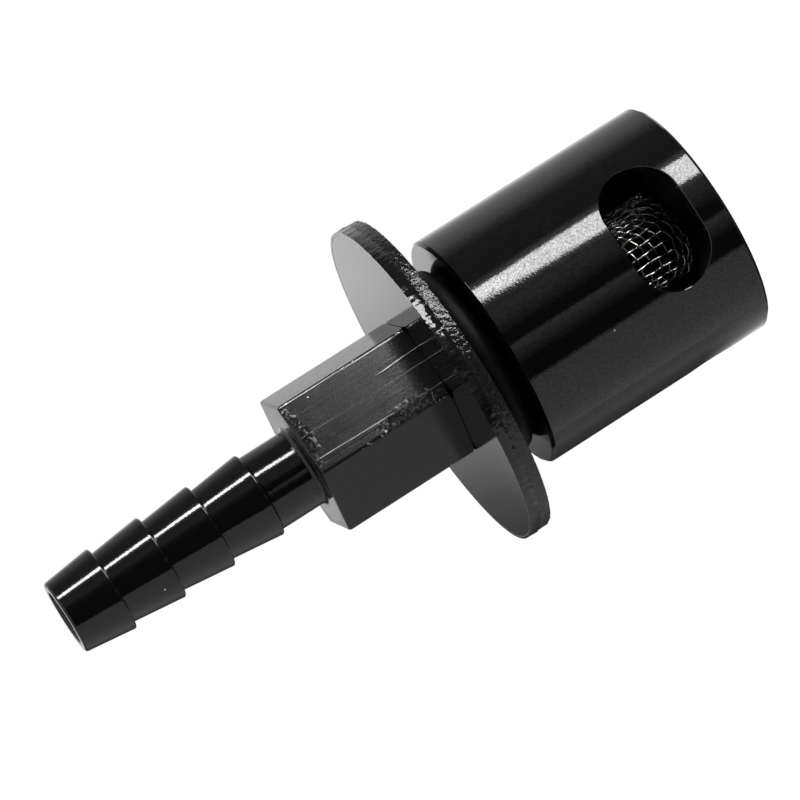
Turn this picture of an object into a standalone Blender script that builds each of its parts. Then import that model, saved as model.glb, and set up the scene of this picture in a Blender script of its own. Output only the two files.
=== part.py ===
"""Tank breather valve: a bulkhead roll-over vent with a hose tail.

Axis along Z, vent head up. The origin is the centre of the head's rear face,
the face that seats on the tank's panel. All sizes are real sizes in metres.
"""

import math

import bmesh
import bpy
from mathutils import Matrix

MM = 0.001

# Clearances
TOUCH = 0.30 * MM            # between two pieces that bear on each other
RING_PLAY = 0.15 * MM        # round a small seal in its groove
THREAD_PLAY = 0.15 * MM      # each side of the plain thread surface
WASHER_PLAY = 0.45 * MM      # washer hole over the threaded stub
BALL_PLAY = 0.35 * MM        # ball in its guide
CROWN_PLAY = 0.50 * MM       # gauze crown under the head's closed end

# Vent head, a turned bar with slots milled into its bore
HEAD_RADIUS = 14.4 * MM
HEAD_LENGTH = 29.15 * MM
HEAD_EDGE = 0.36 * MM
HEAD_END_WALL = 1.60 * MM
SPIGOT_LENGTH = 2.0 * MM
SPIGOT_EDGE = 0.3 * MM
SLOT_COUNT = 3
SLOT_WIDTH = 9.0 * MM        # along the head
SLOT_ACROSS = 14.8 * MM      # across the head, end to end
SLOT_TO_END = 3.35 * MM      # from the slot's edge to the closed end
SLOT_FLOOR = 4.5 * MM        # from the axis to the milling cutter's end

# Thread between head and hose tail, drawn plain at its mean radius
THREAD_RADIUS = 7.17 * MM

# Panel seal
SEAL_SECTION = 2.68 * MM
SEAL_BORE_RADIUS = 8.92 * MM

# Clamp washer, stamped from sheet
PANEL_GRIP = 4.2 * MM        # from the head's rear face to the washer
WASHER_RADIUS = 20.03 * MM
WASHER_THICKNESS = 2.7 * MM
WASHER_ROLL = 0.40 * MM      # rounded edge on the punch side

# Hose tail with its spanner hexagon and threaded stub
HEX_ACROSS_FLATS = 16.0 * MM
HEX_LENGTH = 16.4 * MM
HEX_TURN = math.radians(17.2)
HEX_CHAMFER = 0.30 * MM      # depth of the turned chamfer at a corner
HEX_CHAMFER_SLOPE = math.tan(math.radians(30.0))
STUB_LENGTH = 8.2 * MM
STUB_EDGE = 0.6 * MM
STUB_TRAVEL = 2.6 * MM       # room above the stub, for thinner panels
NECK_RADIUS = 4.62 * MM
NECK_FILLET = 0.6 * MM       # between the neck and the hexagon
NECK_LENGTH = 6.1 * MM       # from the hexagon to the last barb's peak
BARB_COUNT = 4
BARB_PITCH = 6.43 * MM
BARB_PEAK_RADIUS = 5.12 * MM
BARB_ROOT_RADIUS = 4.42 * MM
BARB_STEP = 0.35 * MM        # length of the sharp back of a barb
BARB_NOSE = 0.18 * MM        # rounding of a barb's peak
TIP_LENGTH = 5.9 * MM        # from the first barb's peak to the end
TIP_RADIUS = 4.42 * MM
TIP_EDGE = 0.2 * MM
TAIL_BORE_RADIUS = 3.0 * MM
TAIL_BORE_EDGE = 0.35 * MM

# Gauze thimble and its folded rim
GAUZE_RADIUS = 6.6 * MM
GAUZE_CROWN = 4.6 * MM       # height of the rounded crown above the upright wall
GAUZE_WIRE = 0.25 * MM
GAUZE_SIDE = 8               # cells along each side of the crown's square weave
GAUZE_SIDE_ROWS = 5          # rows down the upright wall
RIM_HEIGHT = 1.6 * MM
RIM_SHEET = 0.27 * MM

# Valve seat, its soft pad and its seal
SEAT_HEIGHT = 2.8 * MM
SEAT_ORIFICE_RADIUS = 2.2 * MM
SEAT_SEAL_SECTION = 0.9 * MM
PAD_HEIGHT = 1.8 * MM
PAD_RADIUS = 5.0 * MM
PAD_BORE_RADIUS = 2.0 * MM
PAD_MOUTH_RADIUS = 3.6 * MM

# Ball, cage and retaining clip
BALL_RADIUS = 3.0 * MM
CAGE_HEIGHT = 5.8 * MM
CAGE_FLOOR = 1.2 * MM
CAGE_HOLE_RADIUS = 2.2 * MM
CAGE_CHANNELS = 3
CHANNEL_RADIUS = 1.6 * MM
CHANNEL_REACH = 4.6 * MM     # from the axis to a channel's centre
CLIP_THICKNESS = 1.0 * MM
CLIP_GROOVE_DEPTH = 0.6 * MM
CLIP_BAND = 1.4 * MM
CLIP_LUG_RADIUS = 4.8 * MM
CLIP_LUG_ANGLE = math.radians(15.0)
CLIP_GAP_ANGLE = math.radians(22.0)
CLIP_EYE_RADIUS = 0.5 * MM

# Faces round a full turn
TURNS_HEAD = 40
TURNS_LARGE = 56
TURNS_MEDIUM = 40
TURNS_SMALL = 28
RING_SIDES = 10
SEAL_SIDES = 6
SLOT_END_STEPS = 6
ARC_STEPS = 3
CHANNEL_SIDES = 16
CLIP_STEPS = 40
CLIP_LUG_STEPS = 2
CLIP_EYE_SIDES = 10
SHARP_ANGLE = math.radians(28.0)
WELD_DISTANCE = 0.0001 * MM

# Radii that follow from the fits
FEMALE_RADIUS = THREAD_RADIUS + THREAD_PLAY
MALE_RADIUS = THREAD_RADIUS - THREAD_PLAY
INSERT_RADIUS = FEMALE_RADIUS - TOUCH
SPIGOT_RADIUS = SEAL_BORE_RADIUS - TOUCH
GAUZE_BORE_RADIUS = GAUZE_RADIUS + TOUCH
GAUZE_MEAN_RADIUS = GAUZE_RADIUS - GAUZE_WIRE / 2
GAUZE_MEAN_CROWN = GAUZE_CROWN - GAUZE_WIRE / 2
HEX_CORNER_RADIUS = HEX_ACROSS_FLATS / 2 / math.cos(math.radians(30.0))

# Heights that follow from the stack, outside
WASHER_TOP = -PANEL_GRIP
WASHER_BOTTOM = WASHER_TOP - WASHER_THICKNESS
HEX_TOP = WASHER_BOTTOM - TOUCH
HEX_BOTTOM = HEX_TOP - HEX_LENGTH
STUB_TOP = HEX_TOP + STUB_LENGTH
LAST_PEAK = HEX_BOTTOM - NECK_LENGTH
FIRST_PEAK = LAST_PEAK - (BARB_COUNT - 1) * BARB_PITCH
TAIL_END = FIRST_PEAK - TIP_LENGTH
SLOT_CENTRE = HEAD_LENGTH - SLOT_TO_END - SLOT_WIDTH / 2
HEAD_CEILING = HEAD_LENGTH - HEAD_END_WALL

# Heights that follow from the stack, inside, from the stub up to the shoulder
CLIP_BOTTOM = STUB_TOP + STUB_TRAVEL
CLIP_TOP = CLIP_BOTTOM + CLIP_THICKNESS
CAGE_BOTTOM = CLIP_TOP + TOUCH
CAGE_FLOOR_TOP = CAGE_BOTTOM + CAGE_FLOOR
CAGE_TOP = CAGE_BOTTOM + CAGE_HEIGHT
SEAT_BOTTOM = CAGE_TOP + TOUCH
SEAT_TOP = SEAT_BOTTOM + SEAT_HEIGHT
RIM_BOTTOM = SEAT_TOP + TOUCH
RIM_TOP = RIM_BOTTOM + RIM_HEIGHT
SHOULDER_HEIGHT = RIM_TOP + TOUCH
GAUZE_FOOT = RIM_BOTTOM + RIM_SHEET + TOUCH
GAUZE_CENTRE = HEAD_CEILING - CROWN_PLAY - GAUZE_CROWN

# The ball rests on the cage's hole and closes on the pad's 45 degree mouth
BALL_REST = CAGE_FLOOR_TOP + math.sqrt((BALL_RADIUS + TOUCH) ** 2 - CAGE_HOLE_RADIUS ** 2)
BALL_CLOSED = SEAT_BOTTOM + PAD_MOUTH_RADIUS - math.sqrt(2.0) * (BALL_RADIUS + TOUCH)
BALL_TRAVEL = BALL_CLOSED - BALL_REST


def clear_scene():
    for old in list(bpy.data.objects):
        bpy.data.objects.remove(old, do_unlink=True)


def material(name, color, metallic, roughness):
    """A Principled material of one colour."""
    made = bpy.data.materials.new(name)
    made.use_nodes = True
    shader = made.node_tree.nodes["Principled BSDF"]
    shader.inputs["Base Color"].default_value = (*color, 1.0)
    shader.inputs["Metallic"].default_value = metallic
    shader.inputs["Roughness"].default_value = roughness
    return made


def finish(name, bm, look=None, location=(0.0, 0.0, 0.0)):
    """Turn a bmesh into a smooth shaded object of one material."""
    bmesh.ops.recalc_face_normals(bm, faces=bm.faces[:])
    mesh = bpy.data.meshes.new(name)
    bm.to_mesh(mesh)
    bm.free()
    mesh.shade_smooth()
    mesh.set_sharp_from_angle(angle=SHARP_ANGLE)
    made = bpy.data.objects.new(name, mesh)
    made.location = location
    bpy.context.scene.collection.objects.link(made)
    if look is not None:
        mesh.materials.append(look)
    return made


def revolve(outline, turns):
    """Spin a closed outline of (radius, height) points once round Z."""
    bm = bmesh.new()
    verts = [bm.verts.new((radius, 0.0, height)) for radius, height in outline]
    edges = [bm.edges.new((verts[i - 1], verts[i])) for i in range(len(verts))]
    bmesh.ops.spin(bm, geom=verts + edges, cent=(0, 0, 0), axis=(0, 0, 1),
                   angle=math.tau, steps=turns, use_merge=True)
    bmesh.ops.remove_doubles(bm, verts=bm.verts[:], dist=WELD_DISTANCE)
    return bm


def prism(outline, low, high):
    """Extrude a closed outline of (x, y) points from one height to another."""
    bm = bmesh.new()
    face = bm.faces.new([bm.verts.new((x, y, low)) for x, y in outline])
    top = bmesh.ops.extrude_face_region(bm, geom=[face])["geom"]
    moved = [item for item in top if isinstance(item, bmesh.types.BMVert)]
    bmesh.ops.translate(bm, verts=moved, vec=(0, 0, high - low))
    return bm


def arc(centre, radius, start, stop, steps):
    """Points on an arc, in degrees, with both its ends."""
    angles = [math.radians(start + (stop - start) * i / steps) for i in range(steps + 1)]
    return [(centre[0] + radius * math.cos(a), centre[1] + radius * math.sin(a)) for a in angles]


def circle(radius, turns, centre=(0.0, 0.0)):
    return arc(centre, radius, 0.0, 360.0 * (turns - 1) / turns, turns - 1)


def combine(body, operation, tool):
    """Boolean a hidden tool into a body, as a live modifier."""
    tool.hide_render = True
    tool.display_type = "WIRE"
    modifier = body.modifiers.new(tool.name, "BOOLEAN")
    modifier.operation = operation
    modifier.solver = "EXACT"
    modifier.object = tool


def spoke(index, count):
    return Matrix.Rotation(math.tau * index / count, 4, "Z")


def vent_head(look):
    """The turned head: a closed bar with a spigot, a stepped bore and slots."""
    outline = [
        (HEAD_RADIUS - HEAD_EDGE, HEAD_LENGTH),
        (HEAD_RADIUS, HEAD_LENGTH - HEAD_EDGE),
        (HEAD_RADIUS, HEAD_EDGE),
        (HEAD_RADIUS - HEAD_EDGE, 0.0),
        (SPIGOT_RADIUS, 0.0),
        (SPIGOT_RADIUS, -SPIGOT_LENGTH + SPIGOT_EDGE),
        (SPIGOT_RADIUS - SPIGOT_EDGE, -SPIGOT_LENGTH),
        (FEMALE_RADIUS + SPIGOT_EDGE, -SPIGOT_LENGTH),
        (FEMALE_RADIUS, -SPIGOT_LENGTH + SPIGOT_EDGE),
        (FEMALE_RADIUS, CLIP_BOTTOM - TOUCH),
        (FEMALE_RADIUS + CLIP_GROOVE_DEPTH, CLIP_BOTTOM - TOUCH),
        (FEMALE_RADIUS + CLIP_GROOVE_DEPTH, CLIP_TOP + TOUCH),
        (FEMALE_RADIUS, CLIP_TOP + TOUCH),
        (FEMALE_RADIUS, SHOULDER_HEIGHT),
        (GAUZE_BORE_RADIUS, SHOULDER_HEIGHT),
        (GAUZE_BORE_RADIUS, HEAD_CEILING),
        (0.0, HEAD_CEILING),
        (0.0, HEAD_LENGTH),
    ]
    head = finish("vent_head", revolve(outline, TURNS_HEAD), look)
    for index in range(SLOT_COUNT):
        combine(head, "DIFFERENCE", slot_cutter(index))
    return head


def slot_cutter(index):
    """An obround bar that reaches from the bore out past the head's side."""
    end = SLOT_WIDTH / 2
    half = SLOT_ACROSS / 2 - end
    outline = arc((half, 0.0), end, -90.0, 90.0, SLOT_END_STEPS)
    outline += arc((-half, 0.0), end, 90.0, 270.0, SLOT_END_STEPS)
    bm = prism(outline, SLOT_FLOOR, HEAD_RADIUS + SLOT_FLOOR)
    bmesh.ops.rotate(bm, verts=bm.verts[:], cent=(0, 0, 0), matrix=Matrix.Rotation(math.pi / 2, 3, "X"))
    bmesh.ops.translate(bm, verts=bm.verts[:], vec=(0, 0, SLOT_CENTRE))
    bmesh.ops.transform(bm, verts=bm.verts[:], matrix=spoke(index, SLOT_COUNT))
    return finish(f"slot_cutter_{index + 1}", bm)


def barb(peak):
    """One barb from its back step, round its nose to the start of its long slope."""
    nose = arc((BARB_PEAK_RADIUS - BARB_NOSE, peak), BARB_NOSE, 75.0, -6.0, ARC_STEPS)
    return [(BARB_ROOT_RADIUS, peak + BARB_STEP)] + nose


def hose_tail(look):
    """Hexagon, threaded stub, neck and barbs in one piece, bored through."""
    blank_outline = [
        (HEX_CORNER_RADIUS - HEX_CHAMFER, HEX_TOP),
        (HEX_CORNER_RADIUS, HEX_TOP - HEX_CHAMFER * HEX_CHAMFER_SLOPE),
        (HEX_CORNER_RADIUS, HEX_BOTTOM),
        (0.0, HEX_BOTTOM),
        (0.0, HEX_TOP),
    ]
    blank = finish("hex_blank", revolve(blank_outline, TURNS_LARGE))
    turns = [HEX_TURN + math.tau * (side + 0.5) / 6 for side in range(6)]
    corners = [(HEX_CORNER_RADIUS * math.cos(t), HEX_CORNER_RADIUS * math.sin(t)) for t in turns]
    tail = finish("hose_tail", prism(corners, HEX_BOTTOM - HEX_CHAMFER, HEX_TOP + HEX_CHAMFER), look)
    combine(tail, "INTERSECT", blank)

    fillet_centre = (NECK_RADIUS + NECK_FILLET, HEX_BOTTOM - NECK_FILLET)
    outline = [(0.0, STUB_TOP), (MALE_RADIUS - STUB_EDGE, STUB_TOP), (MALE_RADIUS, STUB_TOP - STUB_EDGE)]
    outline += [(MALE_RADIUS, HEX_TOP - HEX_LENGTH / 2), (fillet_centre[0], HEX_TOP - HEX_LENGTH / 2)]
    outline += arc(fillet_centre, NECK_FILLET, 90.0, 180.0, ARC_STEPS + 1)
    outline += [(NECK_RADIUS, LAST_PEAK + BARB_STEP)]
    for index in range(BARB_COUNT):
        outline += barb(LAST_PEAK - index * BARB_PITCH)
    outline += [(TIP_RADIUS, TAIL_END + TIP_EDGE), (TIP_RADIUS - TIP_EDGE, TAIL_END), (0.0, TAIL_END)]
    combine(tail, "UNION", finish("tail_spindle", revolve(outline, TURNS_MEDIUM)))

    bore_outline = [
        (0.0, STUB_TOP + TAIL_BORE_EDGE),
        (TAIL_BORE_RADIUS + 2 * TAIL_BORE_EDGE, STUB_TOP + TAIL_BORE_EDGE),
        (TAIL_BORE_RADIUS, STUB_TOP - TAIL_BORE_EDGE),
        (TAIL_BORE_RADIUS, TAIL_END + TAIL_BORE_EDGE),
        (TAIL_BORE_RADIUS + 2 * TAIL_BORE_EDGE, TAIL_END - TAIL_BORE_EDGE),
        (0.0, TAIL_END - TAIL_BORE_EDGE),
    ]
    combine(tail, "DIFFERENCE", finish("tail_bore", revolve(bore_outline, TURNS_SMALL)))
    return tail


def clamp_washer(look):
    """A stamped washer: rolled over on the punch side, square on the other."""
    hole = MALE_RADIUS + WASHER_PLAY
    rolled = arc((WASHER_RADIUS - WASHER_ROLL, WASHER_BOTTOM + WASHER_ROLL), WASHER_ROLL, 0.0, -90.0, ARC_STEPS)
    outline = [(WASHER_RADIUS, WASHER_TOP)] + rolled + [(hole, WASHER_BOTTOM), (hole, WASHER_TOP)]
    return finish("clamp_washer", revolve(outline, TURNS_LARGE), look)


def ring(name, bore_radius, section, height, sides, turns, look):
    """A round seal of circular section, centred at a height."""
    centre = (bore_radius + section / 2, height)
    outline = list(reversed(circle(section / 2, sides, centre)))
    return finish(name, revolve(outline, turns), look)


def gauze_point(u, v, step):
    """A knot of the crown's square weave, laid on the flattened dome."""
    rank = max(abs(u), abs(v))
    if rank == 0:
        return (0.0, 0.0, GAUZE_CENTRE + GAUZE_MEAN_CROWN)
    if abs(u) >= abs(v):
        turn = math.pi / 4 * v / u + (0.0 if u > 0 else math.pi)
    else:
        turn = math.pi / 2 - math.pi / 4 * u / v + (0.0 if v > 0 else math.pi)
    tilt = rank * step
    return (GAUZE_MEAN_RADIUS * math.sin(tilt) * math.cos(turn),
            GAUZE_MEAN_RADIUS * math.sin(tilt) * math.sin(turn),
            GAUZE_CENTRE + GAUZE_MEAN_CROWN * math.cos(tilt))


def gauze_thimble(look):
    """A domed thimble of wire mesh: one open lattice, square at its crown."""
    cells = GAUZE_SIDE // 2
    around = 4 * GAUZE_SIDE
    step = math.pi / 2 / GAUZE_SIDE
    bm = bmesh.new()
    knots = {(u, v): bm.verts.new(gauze_point(u, v, step))
             for u in range(-cells, cells + 1) for v in range(-cells, cells + 1)}
    for u in range(-cells, cells):
        for v in range(-cells, cells):
            bm.faces.new([knots[u, v], knots[u + 1, v], knots[u + 1, v + 1], knots[u, v + 1]])
    border = sorted((knot for place, knot in knots.items() if max(map(abs, place)) == cells),
                    key=lambda knot: math.atan2(knot.co.y, knot.co.x))
    heights = []
    for row in range(1, cells + 1):
        tilt = (cells + row) * step
        heights.append((GAUZE_MEAN_RADIUS * math.sin(tilt), GAUZE_CENTRE + GAUZE_MEAN_CROWN * math.cos(tilt)))
    for row in range(1, GAUZE_SIDE_ROWS + 1):
        drop = (GAUZE_CENTRE - GAUZE_FOOT) * row / GAUZE_SIDE_ROWS
        heights.append((GAUZE_MEAN_RADIUS, GAUZE_CENTRE - drop))
    upper = border
    for radius, height in heights:
        turns = [math.atan2(knot.co.y, knot.co.x) for knot in upper]
        lower = [bm.verts.new((radius * math.cos(t), radius * math.sin(t), height)) for t in turns]
        for i in range(around):
            bm.faces.new([upper[i - 1], lower[i - 1], lower[i], upper[i]])
        upper = lower
    thimble = finish("gauze_thimble", bm, look)
    wires = thimble.modifiers.new("wires", "WIREFRAME")
    wires.thickness = GAUZE_WIRE
    wires.offset = 0.0
    wires.use_boundary = True
    wires.use_even_offset = True
    wires.use_replace = True
    return thimble


def gauze_rim(look):
    """The folded channel that closes the thimble's foot."""
    outer = INSERT_RADIUS
    slot_out = GAUZE_MEAN_RADIUS + GAUZE_WIRE / 2 + RING_PLAY
    slot_in = GAUZE_MEAN_RADIUS - GAUZE_WIRE / 2 - RING_PLAY
    inner = slot_in - RIM_SHEET
    floor = RIM_BOTTOM + RIM_SHEET
    outline = [(outer, RIM_TOP), (outer, RIM_BOTTOM), (inner, RIM_BOTTOM), (inner, RIM_TOP),
               (slot_in, RIM_TOP), (slot_in, floor), (slot_out, floor), (slot_out, RIM_TOP)]
    return finish("gauze_rim", revolve(outline, TURNS_MEDIUM), look)


def valve_seat(look):
    """The seat carrier: an orifice, a pocket for the pad and a seal groove."""
    groove = INSERT_RADIUS + TOUCH - SEAT_SEAL_SECTION - 2 * RING_PLAY
    groove_half = SEAT_SEAL_SECTION / 2 + RING_PLAY
    middle = (SEAT_TOP + SEAT_BOTTOM) / 2
    pocket = PAD_RADIUS + RING_PLAY
    pocket_top = SEAT_BOTTOM + PAD_HEIGHT + RING_PLAY
    outline = [
        (INSERT_RADIUS, SEAT_TOP),
        (INSERT_RADIUS, middle + groove_half),
        (groove, middle + groove_half),
        (groove, middle - groove_half),
        (INSERT_RADIUS, middle - groove_half),
        (INSERT_RADIUS, SEAT_BOTTOM),
        (pocket, SEAT_BOTTOM),
        (pocket, pocket_top),
        (SEAT_ORIFICE_RADIUS, pocket_top),
        (SEAT_ORIFICE_RADIUS, SEAT_TOP),
    ]
    return finish("valve_seat", revolve(outline, TURNS_MEDIUM), look)


def seat_pad(look):
    """The soft pad whose 45 degree mouth the ball closes on."""
    cone = PAD_MOUTH_RADIUS - PAD_BORE_RADIUS
    outline = [
        (PAD_RADIUS, SEAT_BOTTOM + PAD_HEIGHT),
        (PAD_RADIUS, SEAT_BOTTOM),
        (PAD_MOUTH_RADIUS, SEAT_BOTTOM),
        (PAD_BORE_RADIUS, SEAT_BOTTOM + cone),
        (PAD_BORE_RADIUS, SEAT_BOTTOM + PAD_HEIGHT),
    ]
    return finish("seat_pad", revolve(outline, TURNS_SMALL), look)


def ball_cage(look):
    """A cup that guides the ball, with channels for the vapour beside it."""
    guide = BALL_RADIUS + BALL_PLAY
    outline = [
        (INSERT_RADIUS, CAGE_TOP),
        (INSERT_RADIUS, CAGE_BOTTOM),
        (CAGE_HOLE_RADIUS, CAGE_BOTTOM),
        (CAGE_HOLE_RADIUS, CAGE_FLOOR_TOP),
        (guide, CAGE_FLOOR_TOP),
        (guide, CAGE_TOP),
    ]
    cage = finish("ball_cage", revolve(outline, TURNS_MEDIUM), look)
    for index in range(CAGE_CHANNELS):
        outline = circle(CHANNEL_RADIUS, CHANNEL_SIDES, (CHANNEL_REACH, 0.0))
        bm = prism(outline, CAGE_BOTTOM - TOUCH, CAGE_TOP + TOUCH)
        bmesh.ops.transform(bm, verts=bm.verts[:], matrix=spoke(index, CAGE_CHANNELS))
        combine(cage, "DIFFERENCE", finish(f"channel_cutter_{index + 1}", bm))
    return cage


def valve_ball(look):
    """The loose ball, its origin at its own centre on the valve's axis."""
    bm = bmesh.new()
    bmesh.ops.create_uvsphere(bm, u_segments=TURNS_SMALL, v_segments=TURNS_SMALL // 2, radius=BALL_RADIUS)
    return finish("valve_ball", bm, look, (0.0, 0.0, BALL_REST))


def cage_clip(look):
    """An internal retaining ring with two eyed lugs beside its gap."""
    outer = FEMALE_RADIUS + CLIP_GROOVE_DEPTH - TOUCH
    inner = outer - CLIP_BAND
    start = math.degrees(CLIP_GAP_ANGLE) / 2
    lug = math.degrees(CLIP_LUG_ANGLE)
    outline = arc((0, 0), outer, start, 360.0 - start, CLIP_STEPS)
    outline += arc((0, 0), CLIP_LUG_RADIUS, 360.0 - start, 360.0 - start - lug, CLIP_LUG_STEPS)
    outline += arc((0, 0), inner, 360.0 - start - lug, start + lug, CLIP_STEPS)
    outline += arc((0, 0), CLIP_LUG_RADIUS, start + lug, start, CLIP_LUG_STEPS)
    clip = finish("cage_clip", prism(outline, CLIP_BOTTOM, CLIP_TOP), look)
    eye_reach = (CLIP_LUG_RADIUS + inner) / 2
    for side in (-1, 1):
        turn = side * (CLIP_GAP_ANGLE + CLIP_LUG_ANGLE) / 2
        centre = (eye_reach * math.cos(turn), eye_reach * math.sin(turn))
        eye = prism(circle(CLIP_EYE_RADIUS, CLIP_EYE_SIDES, centre), CLIP_BOTTOM - TOUCH, CLIP_TOP + TOUCH)
        combine(clip, "DIFFERENCE", finish(f"eye_cutter_{side + 2}", eye))
    return clip


def build():
    clear_scene()
    black = (0.012, 0.012, 0.014)
    vent_head(material("head_anodised", black, 1.0, 0.28))
    hose_tail(material("tail_anodised", black, 1.0, 0.28))
    clamp_washer(material("washer_black", (0.016, 0.016, 0.018), 1.0, 0.22))
    seal_height = -TOUCH - SEAL_SECTION / 2
    ring("panel_seal", SEAL_BORE_RADIUS, SEAL_SECTION, seal_height, RING_SIDES, TURNS_LARGE,
         material("seal_rubber", (0.01, 0.01, 0.01), 0.0, 0.45))
    gauze_thimble(material("gauze_steel", (0.55, 0.54, 0.52), 1.0, 0.3))
    gauze_rim(material("rim_steel", (0.5, 0.49, 0.47), 1.0, 0.35))
    valve_seat(material("seat_aluminium", (0.6, 0.6, 0.6), 1.0, 0.3))
    seat_pad(material("pad_rubber", (0.012, 0.012, 0.012), 0.0, 0.55))
    seal_bore = FEMALE_RADIUS - SEAT_SEAL_SECTION - RING_PLAY
    ring("seat_seal", seal_bore, SEAT_SEAL_SECTION, (SEAT_TOP + SEAT_BOTTOM) / 2, SEAL_SIDES, TURNS_MEDIUM,
         material("seat_seal_rubber", (0.012, 0.012, 0.012), 0.0, 0.5))
    ball_cage(material("cage_acetal", (0.75, 0.74, 0.7), 0.0, 0.5))
    valve_ball(material("ball_steel", (0.6, 0.6, 0.6), 1.0, 0.12))
    cage_clip(material("clip_steel", (0.3, 0.3, 0.32), 1.0, 0.35))


build()
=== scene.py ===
import math
import random

import bpy
from mathutils import Matrix, Vector

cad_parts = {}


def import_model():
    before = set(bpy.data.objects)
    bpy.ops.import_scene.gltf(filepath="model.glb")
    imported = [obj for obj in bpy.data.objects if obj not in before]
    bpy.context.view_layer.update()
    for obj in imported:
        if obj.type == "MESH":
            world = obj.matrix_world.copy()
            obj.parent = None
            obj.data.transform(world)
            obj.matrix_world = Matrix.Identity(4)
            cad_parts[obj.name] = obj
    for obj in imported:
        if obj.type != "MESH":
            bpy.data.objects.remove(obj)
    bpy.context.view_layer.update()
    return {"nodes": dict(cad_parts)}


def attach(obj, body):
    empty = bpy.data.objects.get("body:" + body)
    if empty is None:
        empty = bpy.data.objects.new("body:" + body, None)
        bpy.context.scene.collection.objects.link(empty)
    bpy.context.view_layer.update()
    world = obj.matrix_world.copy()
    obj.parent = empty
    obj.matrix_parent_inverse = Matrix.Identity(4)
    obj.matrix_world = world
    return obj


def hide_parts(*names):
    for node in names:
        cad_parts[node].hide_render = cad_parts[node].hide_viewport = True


# Tank breather valve. Metres, in the part's own frame: the axis along Z, the
# vent head up, the origin at the centre of the head's rear face.
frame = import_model()

MM = 0.001

# Sizes repeated from the part
HEAD_RADIUS = 14.4 * MM
HEAD_LENGTH = 29.15 * MM
HEAD_EDGE = 0.36 * MM
HEAD_CEILING = 27.55 * MM
SHOULDER_HEIGHT = 16.0 * MM
BORE_RADIUS = 7.32 * MM
GAUZE_BORE_RADIUS = 6.9 * MM
CLIP_BOTTOM = 3.6 * MM
CLIP_TOP = 4.6 * MM
GROOVE_RADIUS = 7.92 * MM
SPIGOT_RADIUS = 8.62 * MM
SPIGOT_LENGTH = 2.0 * MM
SPIGOT_EDGE = 0.3 * MM
SLOT_COUNT = 3
SLOT_WIDTH = 9.0 * MM
SLOT_ACROSS = 14.8 * MM
SLOT_CENTRE = 21.3 * MM
SLOT_FLOOR = 4.5 * MM
SEAL_SECTION = 2.68 * MM
SEAL_CENTRE_RADIUS = 10.26 * MM
SEAL_HEIGHT = -1.64 * MM
WASHER_RADIUS = 20.03 * MM
WASHER_HOLE = 7.47 * MM
WASHER_TOP = -4.2 * MM
WASHER_BOTTOM = -6.9 * MM
WASHER_ROLL = 0.40 * MM
HEX_ACROSS_FLATS = 16.0 * MM
HEX_TOP = -6.95 * MM         # drawn up tight against the washer
HEX_BOTTOM = -23.6 * MM
HEX_TURN = math.radians(17.2)
HEX_CHAMFER = 0.50 * MM
STUB_RADIUS = 7.02 * MM
STUB_TOP = 1.0 * MM
STUB_EDGE = 0.6 * MM
NECK_RADIUS = 4.62 * MM
NECK_FILLET = 0.6 * MM
BARB_PEAKS = [-29.7 * MM, -36.13 * MM, -42.56 * MM, -48.99 * MM]
BARB_PEAK_RADIUS = 5.12 * MM
BARB_ROOT_RADIUS = 4.42 * MM
BARB_STEP = 0.35 * MM
BARB_NOSE = 0.24 * MM
TAIL_END = -54.89 * MM
TIP_EDGE = 0.2 * MM
TAIL_BORE_RADIUS = 3.0 * MM
TAIL_BORE_EDGE = 0.35 * MM

GAUZE_CENTRE = 22.45 * MM
GAUZE_RADIUS = 6.40 * MM     # to the middle of the weave
GAUZE_CROWN = 4.40 * MM
GAUZE_FOOT = 14.85 * MM
WIRE_RADIUS = 0.125 * MM

# Finer shaping that only the looks need
CORNER = 0.05 * MM           # rounding that tumbling and anodising leave
HOLD = 0.12 * MM             # ring that keeps a flat wall flat beside a corner
SLOT_BREAK = 0.15 * MM       # broken edge round a slot
WELD = 0.0005 * MM
MESH = 1.17 * MM             # from one gauze wire to the next
MESH_REACH = 17              # wires to each side of the crown
MESH_TURN = math.radians(-78.5)
MESH_SKEW = math.radians(5.0)
THIMBLE_LEAN = 0.15 * MM     # the crown sits this far off the axis
TURNS = 192
SMOOTH_ANGLE = math.radians(30.0)


# Modelling helpers

def only(piece):
    """Select one object alone and make it active."""
    bpy.ops.object.select_all(action="DESELECT")
    piece.select_set(True)
    bpy.context.view_layer.objects.active = piece


def apply_place(piece):
    only(piece)
    bpy.ops.object.transform_apply(location=True, rotation=True, scale=True)


def new_piece(name):
    piece = bpy.context.object
    piece.name = name
    piece.data.name = name
    return piece


def pick_edges(piece, wanted):
    """Select the edges that pass a test on their two ends, in edit mode."""
    only(piece)
    bpy.ops.object.mode_set(mode="EDIT")
    bpy.ops.mesh.select_mode(type="EDGE")
    bpy.ops.mesh.select_all(action="DESELECT")
    bpy.ops.object.mode_set(mode="OBJECT")
    points = [vertex.co for vertex in piece.data.vertices]
    for edge in piece.data.edges:
        edge.select = wanted(points[edge.vertices[0]], points[edge.vertices[1]])
    bpy.ops.object.mode_set(mode="EDIT")


def cut(piece, operation, tool):
    """Boolean a tool into a piece, apply it and take the tool away."""
    only(piece)
    modifier = piece.modifiers.new(tool.name, "BOOLEAN")
    modifier.operation = operation
    modifier.solver = "EXACT"
    modifier.object = tool
    bpy.ops.object.modifier_apply(modifier=modifier.name)
    bpy.data.objects.remove(tool, do_unlink=True)


def polish(piece, angle=SMOOTH_ANGLE, keep_flat=False):
    """Shade smooth, and let large walls stay true beside small roundings."""
    only(piece)
    bpy.ops.object.shade_smooth_by_angle(angle=angle)
    if keep_flat:
        modifier = piece.modifiers.new("true_walls", "WEIGHTED_NORMAL")
        modifier.weight = 100
        modifier.keep_sharp = True
        bpy.ops.object.modifier_apply(modifier=modifier.name)


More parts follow.
